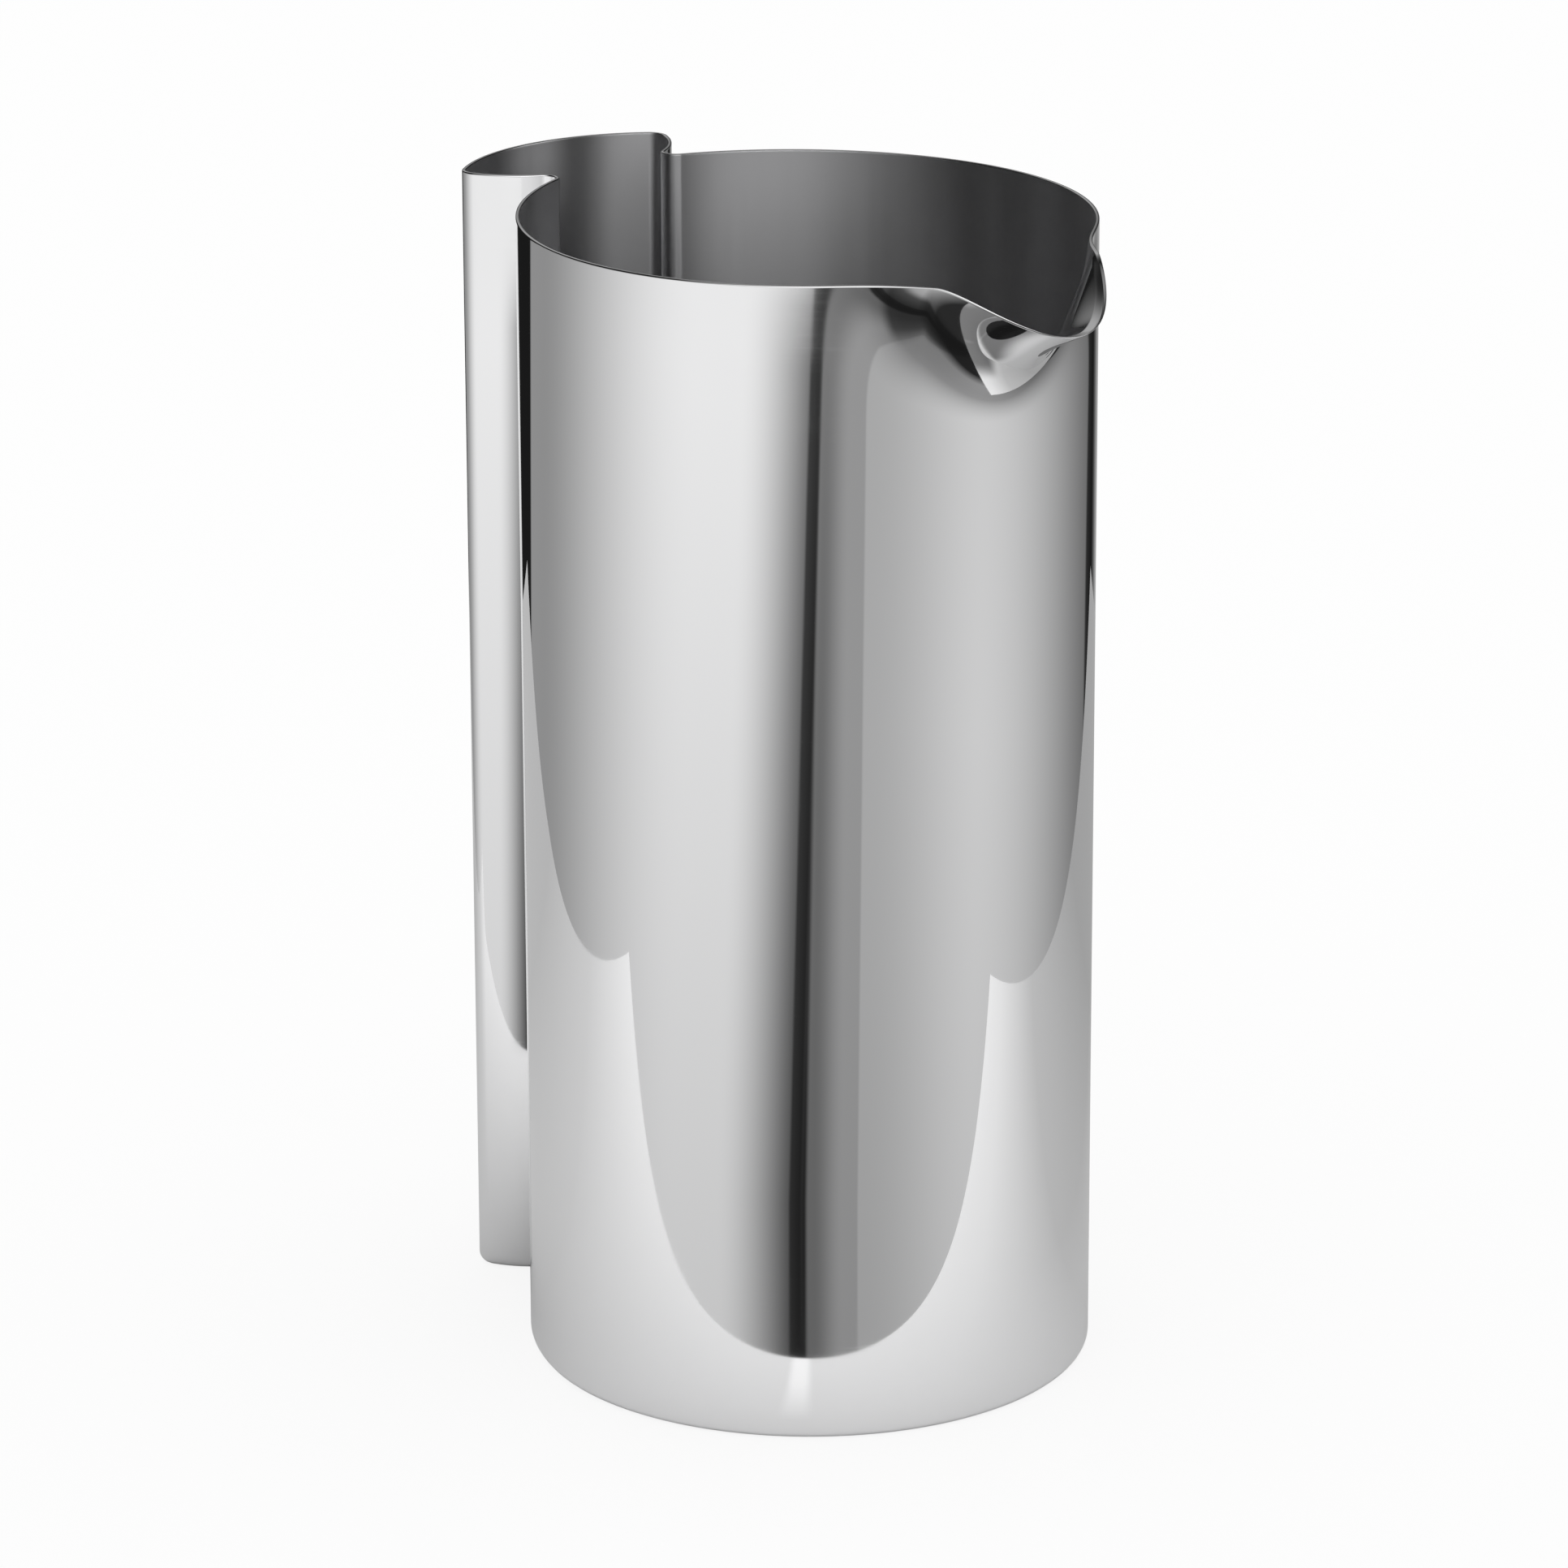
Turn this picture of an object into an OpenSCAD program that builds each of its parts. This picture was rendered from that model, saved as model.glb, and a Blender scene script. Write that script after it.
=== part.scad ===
// Pouring jug of thin polished steel sheet: a round wall with a pulled lip, and a hollow upright handle that
// opens into the body. The body's axis stands on the origin, the lip points along +X and the handle along -X.

/* [Body] */
// Outer radius of the round wall
body_r = 54; // [46:0.5:60]
// Height of the rim above the surface that the jug stands on
body_h = 223.5; // [180:0.5:260]
// Thickness of the steel sheet
sheet_t = 0.8; // [0.5:0.05:1.4]
// How much larger the radius of the rear shoulders is than that of the round wall
shoulder_swell = 7; // [2:0.5:14]
// Turn from the handle's centre line at which the round wall passes into a shoulder
shoulder_turn = 60; // [48:1:80]

/* [Handle] */
// How far the back of the handle stands out past the round wall
handle_depth = 27.3; // [22:0.1:36]
// Width of the handle's neck, outside
neck_w = 28; // [22:0.2:36]
// Outer radius of the two bends between the body and the handle
neck_r = 3.8; // [2:0.1:6]
// Angle between the handle's flanks and its centre line where they leave the bends at the neck
flank_turn = 49.5; // [44:0.5:53]
// Outer radius of the handle's slightly bowed flanks
flank_r = 75; // [45:1:120]
// Outer radius of the handle's two rear corners
corner_r = 3.6; // [3:0.1:6]
// Outer radius of the handle's curved back
back_r = 37.8; // [32:0.2:60]

/* [Bottom] */
// Outer radius of the rounded edge all round the bottom
base_edge_r = 2.3; // [1.5:0.1:2.8]
// Straight height of the bottom's upturned edge above its rounding
flange_h = 3.7; // [1:0.1:12]

/* [Lip] */
// How far the tip of the lip stands out past the round wall
lip_reach = 19.1; // [8:0.1:24]
// How far the tip of the lip lies below the rim
lip_drop = 9.3; // [2:0.1:14]
// Height over which the wall is drawn out into the lip
lip_depth = 34; // [26:0.5:60]
// Angle to each side of the tip over which the rim is drawn out
lip_spread = 50; // [36:1:58]
// Angle to each side of the tip over which the rim dips
dip_spread = 20; // [12:0.5:30]

/* [Hidden] */
$fn = 240;

steel = [0.80, 0.80, 0.81];

// How sharply the rim swells towards the tip, how roundly it dips there, how late the wall curls outwards
// and how much the curl eases off towards the rim
lip_power = 7;
dip_power = 1.77;
curl_power = 5;
curl_ease = 2.5;

// Plan of the half with positive Y, with U pointing from the body's axis to the handle
pan_h = base_edge_r + flange_h;
shoulder_r = body_r + shoulder_swell;
shoulder_c = -shoulder_swell * [cos(shoulder_turn), sin(shoulder_turn)];
neck_v = neck_w / 2 + neck_r;
neck_u = shoulder_c.x + sqrt(pow(shoulder_r + neck_r, 2) - pow(neck_v - shoulder_c.y, 2));
neck_c = [neck_u, neck_v];
neck_turn = atan2(neck_v - shoulder_c.y, neck_u - shoulder_c.x);
foot_turn = flank_turn + 90;
foot_dir = [cos(foot_turn), sin(foot_turn)];
flank_c = neck_c - (neck_r + flank_r) * foot_dir;
back_c = [body_r + handle_depth - back_r, 0];
// A rear corner's centre lies where circles about the centres of its flank and of the back cross
flank_span = flank_r - corner_r;
back_span = back_r - corner_r;
back_way = back_c - flank_c;
corner_along = (back_way * back_way + pow(flank_span, 2) - pow(back_span, 2)) / (2 * norm(back_way));
corner_across = sqrt(pow(flank_span, 2) - pow(corner_along, 2));
corner_way = corner_along * back_way + corner_across * [back_way.y, -back_way.x];
corner_c = flank_c + corner_way / norm(back_way);
head_turn = atan2(corner_c.y - flank_c.y, corner_c.x - flank_c.x);
head_dir = [cos(head_turn), sin(head_turn)];
corner_turn = atan2(corner_c.y, corner_c.x - back_c.x);

// How far a chord of a bottom's outline may fall short of its arc, and the steps round its rounded edge
arc_sag = 0.02;
edge_steps = 6;

// The lip's patch of wall laps into the plain wall round it, a little inside both of its faces
lap_turn = 0.8;
lap_h = 0.8;
lap_sink = 0.03;
lip_columns = 48;
lip_rows = 22;

function arc_steps(r, turn) = max(2, ceil(abs(turn) / (2 * acos(1 - arc_sag / r))));
function arc(c, r, from, to, grown = 0) =
    let (n = arc_steps(r, to - from))
    [for (k = [0:n]) let (a = from + (to - from) * k / n) c + (r + grown) * [cos(a), sin(a)]];
function reversed(list) = [for (k = [len(list) - 1:-1:0]) list[k]];
function mirrored(points) = [for (p = reversed(points)) [p.x, -p.y]];
function quad(a, b, c, d) = b == c ? [[a, b, d]] : [[a, b, c], [a, c, d]];

// Outlines of the two bottoms, drawn in by an inset: both run round from one side of the neck to the other
function body_outline(inset) =
    let (half = concat(
        arc(neck_c, neck_r, 270, 180 + neck_turn, inset),
        arc(shoulder_c, shoulder_r, neck_turn, shoulder_turn, -inset),
        arc([0, 0], body_r, shoulder_turn, 180, -inset)))
    concat(half, mirrored([for (k = [0:len(half) - 2]) half[k]]));
function handle_outline(inset) =
    let (half = concat(
        arc(back_c, back_r, 0, corner_turn, -inset),
        arc(corner_c, corner_r, corner_turn, head_turn, -inset),
        arc(flank_c, flank_r, head_turn, foot_turn, -inset),
        arc(neck_c, neck_r, foot_turn + 180, 270, inset)))
    concat(mirrored([for (k = [1:len(half) - 1]) half[k]]), half);

// Inset and height of each ring of a bottom: down its outer face, then up its inner face
function edge_bend(r) = [for (k = [0:edge_steps]) let (a = 90 * k / edge_steps)
    [base_edge_r - r * cos(a), base_edge_r - r * sin(a)]];
bottom_rings = concat([[0, pan_h]], edge_bend(base_edge_r),
    reversed(edge_bend(base_edge_r - sheet_t)), [[sheet_t, pan_h]]);

module rear() {
    rotate(180) children();
}

module both_sides() {
    for (side = [0, 1]) mirror([0, side, 0]) children();
}

// A dished bottom that is open at the neck: outlines holds the outline of each ring
module bottom(outlines) {
    last = len(outlines[0]) - 1;
    top = len(outlines) - 1;
    under = edge_steps + 1;
    points = [for (j = [0:top]) for (p = outlines[j]) [p.x, p.y, bottom_rings[j].y]];
    function at(j, i) = j * (last + 1) + i;
    sides = [for (j = [0:top]) if (j != under) for (i = [0:last - 1]) let (next = (j + 1) % (top + 1))
        each quad(at(j, i), at(j, i + 1), at(next, i + 1), at(next, i))];
    floors = [for (i = [0:last / 2 - 1]) let (across = last - i)
        each concat(
            quad(at(under, i), at(under, i + 1), at(under, across - 1), at(under, across)),
            quad(at(under + 1, across), at(under + 1, across - 1), at(under + 1, i + 1), at(under + 1, i)))];
    neck_sides = [for (j = [0:under - 1])
        each concat(
            quad(at(j, 0), at(j + 1, 0), at(top - j - 1, 0), at(top - j, 0)),
            quad(at(j + 1, last), at(j, last), at(top - j, last), at(top - j - 1, last)))];
    neck_sill = quad(at(under, 0), at(under, last), at(under + 1, last), at(under + 1, 0));
    polyhedron(points, concat(sides, floors, neck_sides, neck_sill));
}

// The whole plan as a solid between two heights, drawn in by an inset
module plan_prism(inset, from, to) {
    h = to - from;
    half = [[0, neck_v - neck_r],
            shoulder_c + (shoulder_r - inset) * [cos(neck_turn), sin(neck_turn)],
            flank_c + (flank_r - inset) * foot_dir,
            flank_c + (flank_r - inset) * head_dir,
            corner_c];
    flank_band = [
        corner_c,
        flank_c + 2 * flank_r * head_dir,
        flank_c + 2 * flank_r * foot_dir,
        flank_c + flank_span * foot_dir];
    shoulder_reach = 2 * shoulder_r * [cos(shoulder_turn), sin(shoulder_turn)];
    back_reach = 2 * back_r * [cos(corner_turn), sin(corner_turn)];
    translate([0, 0, from]) {
        cylinder(h = h, r = body_r - inset);
        both_sides() intersection() {
            translate(shoulder_c) cylinder(h = h, r = shoulder_r - inset);
            translate(shoulder_c) linear_extrude(h) polygon([[0, 0], shoulder_reach, [2 * shoulder_r, 0]]);
        }
        difference() {
            linear_extrude(h) polygon(concat(half, mirrored(half)));
            both_sides() translate([neck_u, neck_v, -1]) cylinder(h = h + 2, r = neck_r + inset);
        }
        both_sides() intersection() {
            translate(flank_c) cylinder(h = h, r = flank_r - inset);
            linear_extrude(h) polygon(flank_band);
        }
        both_sides() translate(corner_c) cylinder(h = h, r = corner_r - inset);
        intersection() {
            translate(back_c) cylinder(h = h, r = back_r - inset);
            translate(back_c) linear_extrude(h) polygon([[0, 0], back_reach, [back_reach.x, -back_reach.y]]);
        }
    }
}

module wall() {
    difference() {
        plan_prism(0, pan_h, body_h);
        plan_prism(sheet_t, pan_h - 1, body_h + 1);
    }
}

// Everything behind the narrowest part of the neck, where the handle is joined on
module handle_side() {
    reach = 2 * (body_r + handle_depth);
    translate([neck_u, -reach / 2, -1]) cube([reach, reach, body_h + 2]);
}

// Lip: the wall's outer face at a turn from the tip and a share of the height from the curl's foot to the rim
function bell(x, power) = pow(max(0, 1 - x * x), power);
function rim_z(turn) = body_h - lip_drop * bell(turn / dip_spread, dip_power);
function curl(share) = pow(max(0, share), curl_power) * (1 + curl_ease * (1 - share));
function lip_face(turn, share) =
    let (foot = body_h - lip_depth)
    let (r = body_r + lip_reach * bell(turn / lip_spread, lip_power) * curl(share))
    [r * cos(turn), r * sin(turn), foot + share * (rim_z(turn) - foot)];
function lip_normal(turn, share) =
    let (d = 0.001)
    let (n = cross(lip_face(turn + d, share) - lip_face(turn - d, share),
                   lip_face(turn, share + d) - lip_face(turn, share - d)))
    n / norm(n);
function lip_point(turn, share, depth) =
    let (p = lip_face(turn, share), q = p - depth * lip_normal(turn, share))
    share < 1 ? q : [q.x, q.y, p.z];

module lip_patch() {
    turns = concat(
        [-lip_spread - lap_turn],
        [for (k = [0:lip_columns]) lip_spread * (2 * k / lip_columns - 1)],
        [lip_spread + lap_turn]);
    shares = concat([-lap_h / lip_depth], [for (k = [0:lip_rows]) k / lip_rows]);
    last = [len(turns) - 1, len(shares) - 1];
    rows = last.y + 1;
    layer = (last.x + 1) * rows;
    function sink(i, j) = i < 2 || i > last.x - 2 || j < 2 ? lap_sink : 0;
    points = [for (face = [0, 1]) for (i = [0:last.x]) for (j = [0:last.y])
        lip_point(turns[i], shares[j], face == 0 ? sink(i, j) : sheet_t - sink(i, j))];
    function at(face, i, j) = face * layer + i * rows + j;
    faces = [for (i = [0:last.x - 1]) for (j = [0:last.y - 1])
        each concat(
            quad(at(0, i, j), at(0, i, j + 1), at(0, i + 1, j + 1), at(0, i + 1, j)),
            quad(at(1, i + 1, j), at(1, i + 1, j + 1), at(1, i, j + 1), at(1, i, j)))];
    ends = [for (j = [0:last.y - 1])
        each concat(
            quad(at(0, 0, j), at(1, 0, j), at(1, 0, j + 1), at(0, 0, j + 1)),
            quad(at(1, last.x, j), at(0, last.x, j), at(0, last.x, j + 1), at(1, last.x, j + 1)))];
    edges = [for (i = [0:last.x - 1])
        each concat(
            quad(at(1, i, 0), at(0, i, 0), at(0, i + 1, 0), at(1, i + 1, 0)),
            quad(at(0, i, last.y), at(1, i, last.y), at(1, i + 1, last.y), at(0, i + 1, last.y)))];
    polyhedron(points, concat(faces, ends, edges));
}

module lip_window() {
    reach = 2 * body_r;
    translate([0, 0, body_h - lip_depth]) linear_extrude(lip_depth + 1)
        polygon(concat([[0, 0]], arc([0, 0], reach, -lip_spread, lip_spread)));
}

module body_wall() {
    color(steel) {
        difference() {
            rear() difference() {
                wall();
                handle_side();
            }
            lip_window();
        }
        lip_patch();
    }
}

module base_pan() {
    color(steel) rear() bottom([for (ring = bottom_rings) body_outline(ring.x)]);
}

module handle_channel() {
    color(steel) rear() intersection() {
        wall();
        handle_side();
    }
}

module handle_floor() {
    color(steel) rear() bottom([for (ring = bottom_rings) handle_outline(ring.x)]);
}

body_wall();
base_pan();
handle_channel();
handle_floor();
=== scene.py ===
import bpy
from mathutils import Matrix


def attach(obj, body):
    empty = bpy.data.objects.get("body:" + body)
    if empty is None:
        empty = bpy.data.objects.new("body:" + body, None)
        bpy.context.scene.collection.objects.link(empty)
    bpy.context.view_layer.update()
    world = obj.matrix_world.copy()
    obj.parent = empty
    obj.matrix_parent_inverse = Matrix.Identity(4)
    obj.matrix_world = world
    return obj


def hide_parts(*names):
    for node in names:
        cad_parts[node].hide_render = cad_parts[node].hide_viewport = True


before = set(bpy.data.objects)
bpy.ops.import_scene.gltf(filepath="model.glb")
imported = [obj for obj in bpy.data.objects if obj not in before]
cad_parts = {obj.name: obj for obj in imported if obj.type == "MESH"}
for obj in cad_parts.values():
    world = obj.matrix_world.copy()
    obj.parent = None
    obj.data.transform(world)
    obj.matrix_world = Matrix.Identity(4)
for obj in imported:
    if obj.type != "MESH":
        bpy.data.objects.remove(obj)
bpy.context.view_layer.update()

from math import atan2, ceil, cos, degrees, pi, radians, sin, sqrt

import bmesh
import bpy
from mathutils import Matrix, Vector

# Lengths in metres, angles in degrees. The outline is drawn with the handle towards +X.
# It follows the part's source, with a tighter neck and rounder flanks, as their reflections ask for.
body = {"radius": 0.054, "height": 0.2235, "sheet": 0.0008, "shoulderSwell": 0.0076, "shoulderTurn": 73}
handle = {
    "depth": 0.0273, "neckWidth": 0.0289, "neckRadius": 0.0023,
    "flankTurn": 60, "flankRadius": 0.02135, "cornerRadius": 0.0038, "backRadius": 0.0378,
}
bottom = {"edgeRadius": 0.0023, "flange": 0.0037, "edgeRows": 8, "flatHold": 0.0006}
columns = {"long": 0.5, "bend": 2.0}      # degrees between two columns of a long arc and of a bend


def direction(turn):
    return Vector((cos(radians(turn)), sin(radians(turn)), 0))


def flipped(point):                       # on the other side of the handle's axis
    return Vector((point.x, -point.y, point.z))


# Centres and angles of the tangent arcs that make the outline
shoulderRadius = body["radius"] + body["shoulderSwell"]
shoulderCentre = -body["shoulderSwell"] * direction(body["shoulderTurn"])
neckY = handle["neckWidth"] / 2 + handle["neckRadius"]
neckReach = shoulderRadius + handle["neckRadius"]
neckX = shoulderCentre.x + sqrt(neckReach ** 2 - (neckY - shoulderCentre.y) ** 2)
neckCentre = Vector((neckX, neckY, 0))
neckTurn = degrees(atan2(neckY - shoulderCentre.y, neckX - shoulderCentre.x))
flankReach = handle["neckRadius"] + handle["flankRadius"]
flankCentre = neckCentre + flankReach * direction(handle["flankTurn"] - 90)
backCentre = Vector((body["radius"] + handle["depth"] - handle["backRadius"], 0, 0))
# The corner's centre is where two circles meet, one round the flank's centre and one round the back's
between = backCentre - flankCentre
flankSpan = handle["flankRadius"] - handle["cornerRadius"]
backSpan = handle["backRadius"] - handle["cornerRadius"]
along = (between.length ** 2 + flankSpan ** 2 - backSpan ** 2) / (2 * between.length)
across = sqrt(flankSpan ** 2 - along ** 2)
towards = between.normalized()
cornerCentre = flankCentre + along * towards + across * Vector((towards.y, -towards.x, 0))
flankEnd = degrees(atan2(cornerCentre.y - flankCentre.y, cornerCentre.x - flankCentre.x))
flankBow = handle["flankTurn"] + 90 - flankEnd
backTurn = degrees(atan2(cornerCentre.y, cornerCentre.x - backCentre.x))
seamHeight = bottom["edgeRadius"] + bottom["flange"]
print("outline: flanks bowed by", round(flankBow, 1), "degrees, corners at", round(backTurn, 1))


def bodyArcs():
    bend = 90 - neckTurn
    shoulder = body["shoulderTurn"] - neckTurn
    return [
        (neckCentre, -bend, columns["bend"]),
        (shoulderCentre, shoulder, columns["long"]),
        (Vector(), 360 - 2 * body["shoulderTurn"], columns["long"]),
        (flipped(shoulderCentre), shoulder, columns["long"]),
        (flipped(neckCentre), -bend, columns["bend"]),
    ]


def handleArcs():
    corner = flankEnd - backTurn
    return [
        (flipped(neckCentre), -handle["flankTurn"], columns["bend"]),
        (flipped(flankCentre), flankBow, columns["long"]),
        (flipped(cornerCentre), corner, columns["bend"]),
        (backCentre, 2 * backTurn, columns["long"]),
        (cornerCentre, corner, columns["bend"]),
        (flankCentre, flankBow, columns["long"]),
        (neckCentre, -handle["flankTurn"], columns["bend"]),
    ]


def drawOutline(bm, side, arcs):
    # One vertex is carried round each arc in turn, so the chain of edges is the outline
    start = (neckX, side * (neckY - handle["neckRadius"]), seamHeight)
    vert = bmesh.ops.create_vert(bm, co=start)["vert"][0]
    for centre, turn, step in arcs:
        made = bmesh.ops.spin(bm, geom=[vert], cent=(centre.x, centre.y, seamHeight), axis=(0, 0, 1),
                              angle=radians(turn), steps=ceil(abs(turn) / step), use_duplicate=False)
        vert = next(g for g in made["geom_last"] if isinstance(g, bmesh.types.BMVert))
    return bm.edges[:]


def nextRow(bm, edges, height):
    made = bmesh.ops.extrude_edge_only(bm, edges=edges)["geom"]
    row = [g for g in made if isinstance(g, bmesh.types.BMEdge)]
    verts = [g for g in made if isinstance(g, bmesh.types.BMVert)]
    bmesh.ops.translate(bm, verts=verts, vec=(0, 0, height - verts[0].co.z))
    return row, verts


# Sheet: its rounded rim, the strip that the rounding needs below it, and how near counts as touching
rim = {"rounding": 0.00026, "segments": 3, "hold": 0.0004}
touching = {"doubles": 1e-7, "neck": 1e-5}


def thicken(bm, rimVerts):
    bmesh.ops.remove_doubles(bm, verts=bm.verts, dist=touching["doubles"])
    bmesh.ops.recalc_face_normals(bm, faces=bm.faces)
    bm.normal_update()
    outwards = sum(f.calc_area() * f.normal.xy.dot(f.calc_center_median().xy) for f in bm.faces)
    if outwards < 0:                      # an open wall may come out turned inside out
        bmesh.ops.reverse_faces(bm, faces=bm.faces)
    rimVerts = {v for v in rimVerts if v.is_valid}
    outer = set(bm.faces)
    made = bmesh.ops.solidify(bm, geom=bm.faces[:], thickness=body["sheet"])["geom"]
    inner = {g for g in made if isinstance(g, bmesh.types.BMFace)} - outer
    for face in bm.faces:
        face.smooth = True
    for face in inner:
        face.material_index = 1
    rimFaces, seamFaces = [], []
    for face in bm.faces:
        if face not in outer and face not in inner:
            onRim = sum(v in rimVerts for v in face.verts) == 2
            (rimFaces if onRim else seamFaces).append(face)
    for face in seamFaces:
        face.smooth = False
        for edge in face.edges:
            edge.smooth = False
    levelRim(rimVerts, {v for f in rimFaces for v in f.verts} - rimVerts)
    # Only the two long edges of the rim are rounded, not those across it or at a seam
    cut = set(rimFaces + seamFaces)
    sharp = [e for f in rimFaces for e in f.edges if not all(g in cut for g in e.link_faces)]
    if sharp:
        bmesh.ops.bevel(bm, geom=sharp, offset=rim["rounding"], segments=rim["segments"],
                        profile=0.5, affect="EDGES", material=-1)
    for vert in bm.verts:
        vert.co.z = min(vert.co.z, body["height"])


def levelRim(outerRim, innerRim):
    # The inner edge of the rim comes level with the outer one, and what is under it stays below
    for vert in innerRim:
        beside = [e.other_vert(vert) for e in vert.link_edges]
        vert.co.z = next(v.co.z for v in beside if v in outerRim)
        for held in beside:
            if held not in outerRim and held not in innerRim:
                held.co.z = min(held.co.z, vert.co.z - rim["hold"])


def finishPiece(bm, name, node):
    bmesh.ops.rotate(bm, verts=bm.verts, cent=(0, 0, 0), matrix=Matrix.Rotation(pi, 3, "Z"))
    data = bpy.data.meshes.new(name)
    bm.to_mesh(data)
    bm.free()
    data.materials.append(outside)
    data.materials.append(inside)
    piece = bpy.data.objects.new(name, data)
    bpy.context.collection.objects.link(piece)
    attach(piece, "root")
    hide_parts(node)
    print(name, len(data.polygons), "faces", [round(1000 * side, 2) for side in piece.dimensions], "mm")


# Pouring lip: the wall is drawn out and its rim dips, most at the tip and fading to nothing on both sides
lip = {
    "reach": 0.0191, "drop": 0.0093, "depth": 0.034, "rows": 44,
    "spread": 50, "dipSpread": 20, "power": 6.7, "dipPower": 1.77, "curlPower": 5, "curlEase": 2.5,
}
lipFoot = body["height"] - lip["depth"]


def bell(x, power):
    return max(0, 1 - x * x) ** power


def drawOutLip(bm):
    for vert in bm.verts:
        turn = degrees(atan2(vert.co.y, -vert.co.x))     # from the lip's tip
        share = (vert.co.z - lipFoot) / lip["depth"]
        if abs(turn) < lip["spread"] and share > 0:
            curl = share ** lip["curlPower"] * (1 + lip["curlEase"] * (1 - share))
            swell = lip["reach"] * bell(turn / lip["spread"], lip["power"]) * curl
            rimHeight = body["height"] - lip["drop"] * bell(turn / lip["dipSpread"], lip["dipPower"])
            grown = 1 + swell / Vector((vert.co.x, vert.co.y)).length
            vert.co = (vert.co.x * grown, vert.co.y * grown, lipFoot + share * (rimHeight - lipFoot))


def makeWall(name, node, side, arcs, rows, withLip=False):
    bm = bmesh.new()
    edges = drawOutline(bm, side, arcs)
    for height in rows + [body["height"]]:
        edges, verts = nextRow(bm, edges, height)
    if withLip:
        drawOutLip(bm)
    thicken(bm, verts)
    finishPiece(bm, name, node)


def makeBottom(name, node, side, arcs):
    bm = bmesh.new()
    edges = drawOutline(bm, side, arcs)
    radius = bottom["edgeRadius"]
    edges, verts = nextRow(bm, edges, radius)
    bmesh.ops.recalc_face_normals(bm, faces=bm.faces)
    bm.normal_update()
    outwards = []
    for vert in verts:
        atNeck = abs(vert.co.x - neckX) < touching["neck"]
        out = Vector((0, vert.co.y, 0)) if atNeck else Vector((vert.normal.x, vert.normal.y, 0))
        outwards.append(out.normalized())
    start = [vert.co.copy() for vert in verts]
    # The wall turns in through a quarter of a circle and runs on flat for a little
    turns = [radians(90 * row / bottom["edgeRows"]) for row in range(1, bottom["edgeRows"] + 1)]
    quarter = [(radius * (1 - cos(turn)), radius * (1 - sin(turn))) for turn in turns]
    for inset, height in quarter + [(radius + bottom["flatHold"], 0)]:
        edges, verts = nextRow(bm, edges, height)
        for vert, at, out in zip(verts, start, outwards):
            vert.co.x = at.x - inset * out.x
            vert.co.y = at.y - inset * out.y
    ends = [v for v in verts if abs(v.co.x - neckX) < touching["neck"]]
    edges += bmesh.ops.contextual_create(bm, geom=ends)["edges"]
    bmesh.ops.edgeloop_fill(bm, edges=edges)
    thicken(bm, [])
    finishPiece(bm, name, node)


def addNode(tree, kind, settings=None, inputs=None, out=0):
    node = tree.nodes.new(kind)
    for key, value in (settings or {}).items():
        setattr(node, key, value)
    for key, value in (inputs or {}).items():
        if isinstance(value, Sum):
            tree.links.new(value.socket, node.inputs[key])
        else:
            node.inputs[key].default_value = value
    return Sum(tree, node.outputs[out]) if node.outputs else None


class Sum:
    # A socket that can be used in a Python expression
    def __init__(self, tree, socket):
        self.tree, self.socket = tree, socket

    def reckon(self, operation, *values):
        return addNode(self.tree, "ShaderNodeMath", {"operation": operation}, dict(enumerate(values)))

    def math(self, operation, *others):
        return self.reckon(operation, self, *others)

    def __add__(self, other):
        return self.reckon("ADD", self, other)

    def __radd__(self, other):
        return self.reckon("ADD", other, self)

    def __sub__(self, other):
        return self.reckon("SUBTRACT", self, other)

    def __rsub__(self, other):
        return self.reckon("SUBTRACT", other, self)

    def __mul__(self, other):
        return self.reckon("MULTIPLY", self, other)

    def __rmul__(self, other):
        return self.reckon("MULTIPLY", other, self)


def separate(vector):
    split = addNode(vector.tree, "ShaderNodeSeparateXYZ", inputs={0: vector}).socket.node
    return [Sum(vector.tree, socket) for socket in split.outputs]


def smoothRise(x, low, high):
    return addNode(x.tree, "ShaderNodeMapRange", {"interpolation_type": "SMOOTHSTEP"},
                   {"Value": x, "From Min": low, "From Max": high, "To Min": 0.0, "To Max": 1.0})


def straightRise(x, low, high, least=0.0):
    return addNode(x.tree, "ShaderNodeMapRange", None,
                   {"Value": x, "From Min": low, "From Max": high, "To Min": least})


def noise(place, scale, detail, stretch=None):
    if stretch:
        place = addNode(place.tree, "ShaderNodeMapping", inputs={"Vector": place, "Scale": stretch})
    return addNode(place.tree, "ShaderNodeTexNoise",
                   inputs={"Vector": place, "Scale": scale, "Detail": detail})


def startFinish(name):
    finish = bpy.data.materials.new(name)
    finish.use_nodes = True
    tree = finish.node_tree
    shader = tree.nodes["Principled BSDF"]
    shader.inputs["Metallic"].default_value = 1
    return finish, tree, shader, addNode(tree, "ShaderNodeTexCoord", out="Object")


def feed(tree, shader, rough, height, depth):
    bump = addNode(tree, "ShaderNodeBump", inputs={"Strength": 1.0, "Distance": depth, "Height": height})
    tree.links.new(rough.socket, shader.inputs["Roughness"])
    tree.links.new(bump.socket, shader.inputs["Normal"])


# Mirror polish outside: hazy patches of handling, hairlines of the polishing wheel and a faint unevenness
polish = {
    "tint": (0.86, 0.86, 0.865, 1), "roughness": 0.015,
    "haze": 0.055, "hazeScale": 26.0, "hazeDetail": 5.0, "hazeFrom": 0.45, "hazeTo": 0.75,
    "hairline": 0.02, "hairStretch": (50, 50, 2600), "hairDetail": 3.0, "hairFrom": 0.5, "hairTo": 0.8,
    "waveScale": 11.0, "waveDetail": 1.0, "waveDepth": 0.00003,
}


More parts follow.
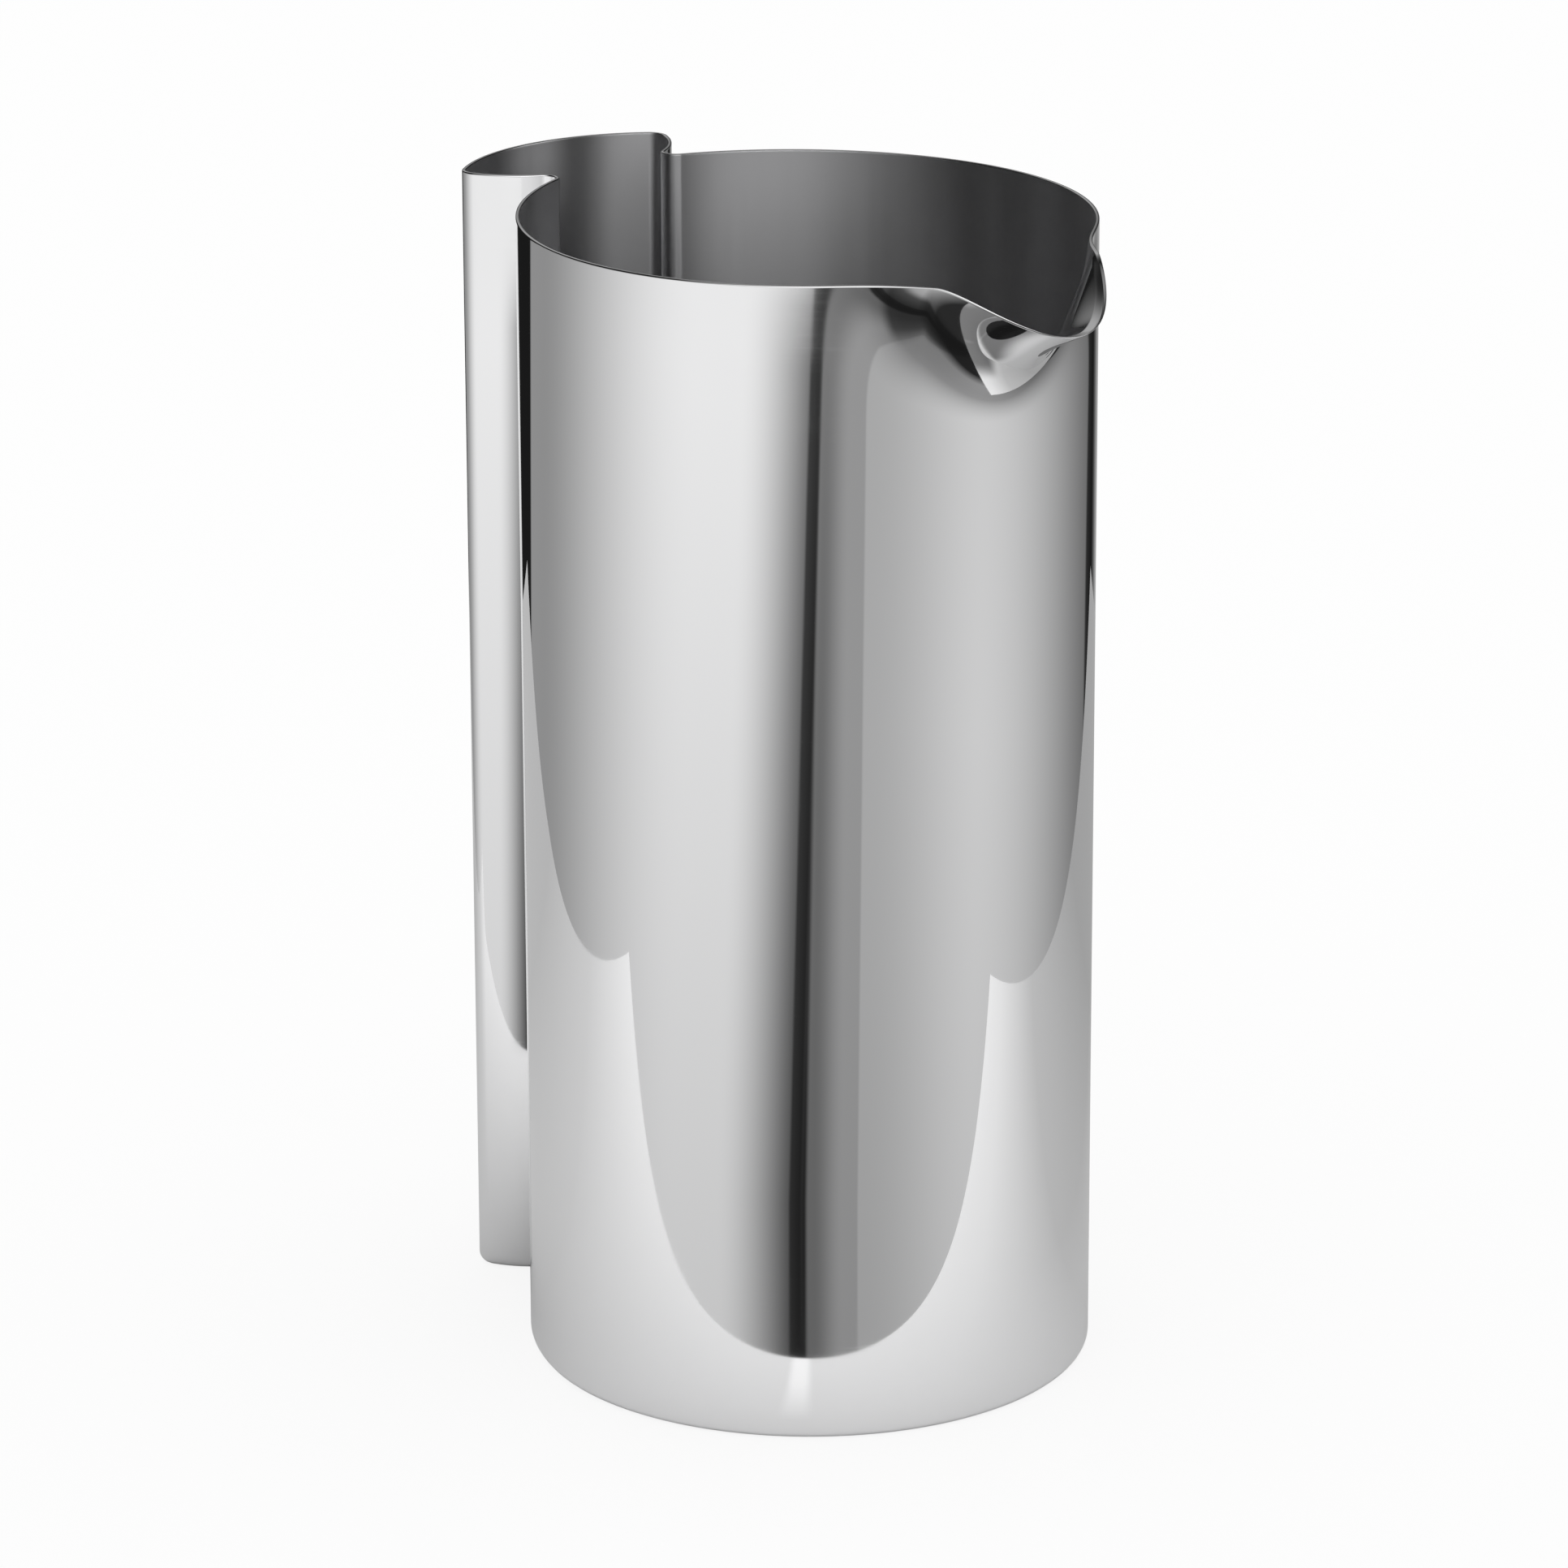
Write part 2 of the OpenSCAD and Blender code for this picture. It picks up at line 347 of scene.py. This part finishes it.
def polishedSteel():
    finish, tree, shader, place = startFinish("polishedSteel")
    haze = noise(place, polish["hazeScale"], polish["hazeDetail"])
    hairs = noise(place, 1.0, polish["hairDetail"], polish["hairStretch"])
    worn = smoothRise(haze, polish["hazeFrom"], polish["hazeTo"]) * polish["haze"]
    scored = smoothRise(hairs, polish["hairFrom"], polish["hairTo"]) * polish["hairline"]
    wave = noise(place, polish["waveScale"], polish["waveDetail"])
    shader.inputs["Base Color"].default_value = polish["tint"]
    feed(tree, shader, polish["roughness"] + worn + scored, wave, polish["waveDepth"])
    return finish


# Satin inside, with the grain of the rolled sheet running up the wall. The pulled lip was polished again.
satin = {
    "tint": (0.62, 0.62, 0.63, 1), "roughness": 0.38, "drawn": 0.9, "upright": 0.25,
    "grain": 0.16, "grainStretch": (700, 700, 9), "grainDetail": 4.0, "grainDepth": 0.000004,
    "bandStretch": (90, 90, 3), "bandDetail": 2.0,
    "lipFrom": 0.0525, "lipTo": 0.0555, "lipRoughness": 0.05,
}


def satinSteel():
    finish, tree, shader, place = startFinish("satinSteel")
    grain = noise(place, 1.0, satin["grainDetail"], satin["grainStretch"])
    bands = noise(place, 1.0, satin["bandDetail"], satin["bandStretch"])
    rough = satin["roughness"] + (grain - 0.5) * satin["grain"] + (bands - 0.5) * satin["grain"]
    shader.inputs["Anisotropic"].default_value = satin["drawn"]
    shader.inputs["Anisotropic Rotation"].default_value = satin["upright"]
    shader.inputs["Base Color"].default_value = satin["tint"]
    feed(tree, shader, rough, grain, satin["grainDepth"])
    reach = smoothRise(separate(place)[0], satin["lipFrom"], satin["lipTo"])
    bright = addNode(tree, "ShaderNodeBsdfPrincipled", inputs={
        "Metallic": 1.0, "Base Color": polish["tint"], "Roughness": satin["lipRoughness"]})
    dull = Sum(tree, shader.outputs[0])
    both = addNode(tree, "ShaderNodeMixShader", inputs={0: reach, 1: dull, 2: bright})
    tree.links.new(both.socket, tree.nodes["Material Output"].inputs["Surface"])
    return finish


print("finishes")
outside, inside = polishedSteel(), satinSteel()
print("walls")
wallTop = body["height"] - rim["hold"]
lipRows = [lipFoot + (lip["depth"] - rim["hold"]) * row / lip["rows"] for row in range(lip["rows"] + 1)]
makeWall("bodyWall", "body_wall", 1, bodyArcs(), lipRows, withLip=True)
makeWall("handleChannel", "handle_channel", -1, handleArcs(), [wallTop])
print("bottoms")
makeBottom("basePan", "base_pan", 1, bodyArcs())
makeBottom("handleFloor", "handle_floor", -1, handleArcs())

# Studio: turns in degrees about the jug's axis, with the camera at -90, and levels where 1 is white
studio = {"facing": 48.23, "room": 0.011, "ceiling": 0.35, "ceilingFrom": 0.82, "ceilingTo": 0.96}
# What the steel sees of the table ends at a limit on each side, and its colour there holds painted light:
# it falls off towards the back and darkens to the right of the jug, with a painted glint in front
table = {
    "halfSize": 8, "colour": (0.93, 0.93, 0.93, 1), "white": 0.85,
    "front": -0.0945, "back": 0.486, "left": -0.297, "right": 0.281,
    "level": 0.97, "middle": 0.016, "far": 0.19, "middleLoss": 0.26, "farLoss": 0.18,
    "sideLoss": 0.13, "sideRun": (0.027, 0.108), "sideDepth": (-0.065, 0.016),
    "paintedGlint": 0.25, "glintPlace": -0.0046, "glintWidth": (0.0015, 0.006), "glintDepth": (-0.062, -0.082),
}
# Painted shade: a darker table in front of the jug, found only by long steep reflections such as the
# lip's
footShade = {
    "loss": 0.73, "ray": (0.13, 0.17), "depth": (-0.04, 0.0),
    "leftRun": (-0.12, -0.08), "rightRun": (0.06, 0.15),
}


def makeTable():
    bm = bmesh.new()
    bmesh.ops.create_grid(bm, x_segments=1, y_segments=1, size=table["halfSize"])
    data = bpy.data.meshes.new("table")
    bm.to_mesh(data)
    bm.free()
    top = bpy.data.objects.new("table", data)
    bpy.context.collection.objects.link(top)
    paint = bpy.data.materials.new("paleTablePaintedShade")
    paint.use_nodes = True
    tree = paint.node_tree
    tree.nodes.clear()
    place = addNode(tree, "ShaderNodeTexCoord", out="Object")
    turned = addNode(tree, "ShaderNodeMapping", {"vector_type": "POINT"},
                     {"Vector": place, "Rotation": (0, 0, radians(-studio["facing"]))})
    x, y = separate(turned)[:2]
    past = y.math("LESS_THAN", table["front"]).math("MAXIMUM", y.math("GREATER_THAN", table["back"]))
    past = past.math("MAXIMUM", x.math("LESS_THAN", table["left"]))
    past = past.math("MAXIMUM", x.math("GREATER_THAN", table["right"]))

    # Painted shade: the table's grey dims towards the back and to the right of the jug
    near = straightRise(y, table["front"], table["middle"]) * table["middleLoss"]
    far = straightRise(y, table["middle"], table["far"]) * table["farLoss"]
    side = straightRise(x, *table["sideRun"]) * straightRise(y, *table["sideDepth"]) * table["sideLoss"]
    # Painted glint: a narrow bright patch painted on the table just in front of the jug
    aside = (x - table["glintPlace"]).math("ABSOLUTE")
    paintedGlint = straightRise(y, *table["glintDepth"]) * (1 - smoothRise(aside, *table["glintWidth"]))
    shade = table["level"] - near - far - side + paintedGlint * table["paintedGlint"]
    length = addNode(tree, "ShaderNodeLightPath", out="Ray Length")
    # Painted shade of the jug on the table in front of its foot, for long steep rays only
    footPaintedShade = smoothRise(length, *footShade["ray"]) * (1 - smoothRise(y, *footShade["depth"]))
    footPaintedShade = footPaintedShade * smoothRise(x, *footShade["leftRun"]) * (1 - smoothRise(x, *footShade["rightRun"]))
    shade = shade * (1 - footPaintedShade * footShade["loss"])

    # Glossy rays see this painted light and shade, camera and other rays the table's plain colour
    glossy = addNode(tree, "ShaderNodeLightPath", out="Is Glossy Ray")
    direct = addNode(tree, "ShaderNodeLightPath", out="Is Camera Ray")
    paintedLight = addNode(tree, "ShaderNodeCombineColor", inputs={0: shade, 1: shade, 2: shade})
    seen = addNode(tree, "ShaderNodeMix", {"data_type": "RGBA"},
                   {0: glossy, 6: table["colour"], 7: paintedLight}, out=2)
    cloth = addNode(tree, "ShaderNodeBsdfDiffuse", inputs={"Color": seen})
    white = addNode(tree, "ShaderNodeEmission", inputs={"Color": (1, 1, 1, 1), "Strength": 1.0})
    bright = addNode(tree, "ShaderNodeMixShader", inputs={0: direct * table["white"], 1: cloth, 2: white})
    clear = addNode(tree, "ShaderNodeBsdfTransparent")
    both = addNode(tree, "ShaderNodeMixShader", inputs={0: past * glossy, 1: bright, 2: clear})
    addNode(tree, "ShaderNodeOutputMaterial", inputs={"Surface": both})
    data.materials.append(paint)


# Soft boxes: the turns between which each rises and falls, its level, how far it leans per unit of slope,
# and the slopes between which it dims to the share called least
def softBox(rise, fall, level, lean=0, dims=(-2, -1), least=1):
    return {"rise": rise, "fall": fall, "level": level, "lean": lean, "dims": dims, "least": least}


sideBoxes = {
    "left": softBox((135, 225), (241, 280), 0.65, lean=114, dims=(-0.385, -0.25), least=0.5),
    "leftWall": softBox((122, 124), (241, 280), 0.29, lean=114, dims=(-0.95, -0.36), least=0.5),
    "rightNear": softBox((-87.5, -85.5), (56, 59), 0.14, lean=59, dims=(-0.60, -0.33), least=0.6),
    "rightMiddle": softBox((-86, -74), (-20, 68), 0.19, lean=33, dims=(-0.52, -0.30), least=0.4),
    "rightPanel": softBox((-68.6, -67.4), (-20, 68), 0.11, lean=33, dims=(-0.52, -0.30), least=0.4),
    "right": softBox((-68, -15), (-20, 68), 0.24, lean=33, dims=(-0.52, -0.30), least=0.4),
    "behind": softBox((66, 82), (83, 97), 0.4, dims=(-0.5, -0.3), least=0.5),
}
# From the photo's side this one shows only at the top of the handle's flank
flankBox = softBox((241, 275), (300, 330), 0.8, lean=114, dims=(-0.2476, -0.237), least=0)
# These stand above the rim and light the inside
highBoxes = {
    "top": softBox((-152, -85), (-68, -44), 1.6, dims=(0.0, 0.1), least=0),
    "back": softBox((68, 98), (105, 138), 0.4, dims=(0.1, 0.3), least=0),
    "side": softBox((-32, -18), (-2, 22), 1.5, dims=(0.1, 0.3), least=0),
}
# Dark gaps: a narrow slot between the boxes in front, and the jug's own shade under the lip
slot = softBox((-91.7, -90.3), (-87.0, -85.6), 0.75, lean=85)
underLip = softBox((-116, -108), (-80, -66), 0.76)
# Slopes of the reflected light at which the boxes above begin and end
slopes = {
    "leanHeld": -0.36, "leanFrom": -0.269, "sidesEnd": (-0.12, 0.06), "flankEnd": (-0.22, -0.2),
    "underLip": (-0.52, -0.42), "floor": (-0.87, -0.76), "floorLeast": 0.03, "highEnd": (0.5, 0.85),
}


def makeSurroundings():
    world = bpy.data.worlds.new("studio")
    bpy.context.scene.world = world
    world.use_nodes = True
    tree = world.node_tree
    tree.nodes.clear()
    x, y, slope = separate(addNode(tree, "ShaderNodeTexCoord", out="Generated"))
    turn = y.math("ARCTAN2", x) * (180 / pi)          # from the lip, anticlockwise

    def box(spec):
        middle = (spec["rise"][1] + spec["fall"][0]) / 2
        leaning = turn - (slope.math("MAXIMUM", slopes["leanHeld"]) - slopes["leanFrom"]) * spec["lean"]
        away = (leaning - (middle + studio["facing"])).math("WRAP", 180.0, -180.0)
        rise = smoothRise(away, spec["rise"][0] - middle, spec["rise"][1] - middle)
        fall = smoothRise(away, spec["fall"][0] - middle, spec["fall"][1] - middle)
        return rise * (1 - fall) * straightRise(slope, *spec["dims"], spec["least"]) * spec["level"]

    sides = box(flankBox) * (1 - straightRise(slope, *slopes["flankEnd"]))
    for spec in sideBoxes.values():
        sides = sides + box(spec)
    sides = sides * (1 - smoothRise(slope, *slopes["sidesEnd"])) * (1 - box(slot))
    steep = (1 - smoothRise(slope, *slopes["underLip"])) * box(underLip)
    sides = sides * (1 - steep) * straightRise(slope, *slopes["floor"], slopes["floorLeast"])
    high = box(highBoxes["top"]) + box(highBoxes["back"]) + box(highBoxes["side"])
    high = high * (1 - smoothRise(slope, *slopes["highEnd"]))
    ceiling = smoothRise(slope, studio["ceilingFrom"], studio["ceilingTo"]) * studio["ceiling"]
    seen = studio["room"] + sides + high + ceiling
    glossy = addNode(tree, "ShaderNodeLightPath", out="Is Glossy Ray")
    level = seen * glossy + (1 - glossy)
    back = addNode(tree, "ShaderNodeBackground", inputs={"Color": (1, 1, 1, 1), "Strength": level})
    addNode(tree, "ShaderNodeOutputWorld", inputs={"Surface": back})


# The photo's camera: where it stands, its lens in millimetres and how it is turned, tipped and rolled
photo = {
    "place": (1.0027, -0.8956, 0.5461), "lens": 170.22, "sensor": 36,
    "turn": 138.44, "down": 17.877, "roll": -0.164,
}


def makeCamera():
    data = bpy.data.cameras.new("photoCamera")
    data.lens = photo["lens"]
    data.sensor_width = photo["sensor"]
    camera = bpy.data.objects.new("photoCamera", data)
    bpy.context.collection.objects.link(camera)
    down, roll = radians(photo["down"]), radians(photo["roll"])
    ahead = direction(photo["turn"]) * cos(down) + Vector((0, 0, -sin(down)))
    right = ahead.cross(Vector((0, 0, 1))).normalized()
    above = right.cross(ahead)
    side = cos(roll) * right + sin(roll) * above
    top = -sin(roll) * right + cos(roll) * above
    turned = Matrix((side, top, -ahead)).transposed().to_4x4()
    camera.matrix_world = Matrix.Translation(photo["place"]) @ turned
    bpy.context.scene.camera = camera


print("studio")
makeTable()
makeSurroundings()
makeCamera()
bpy.context.scene.view_settings.view_transform = "Standard"
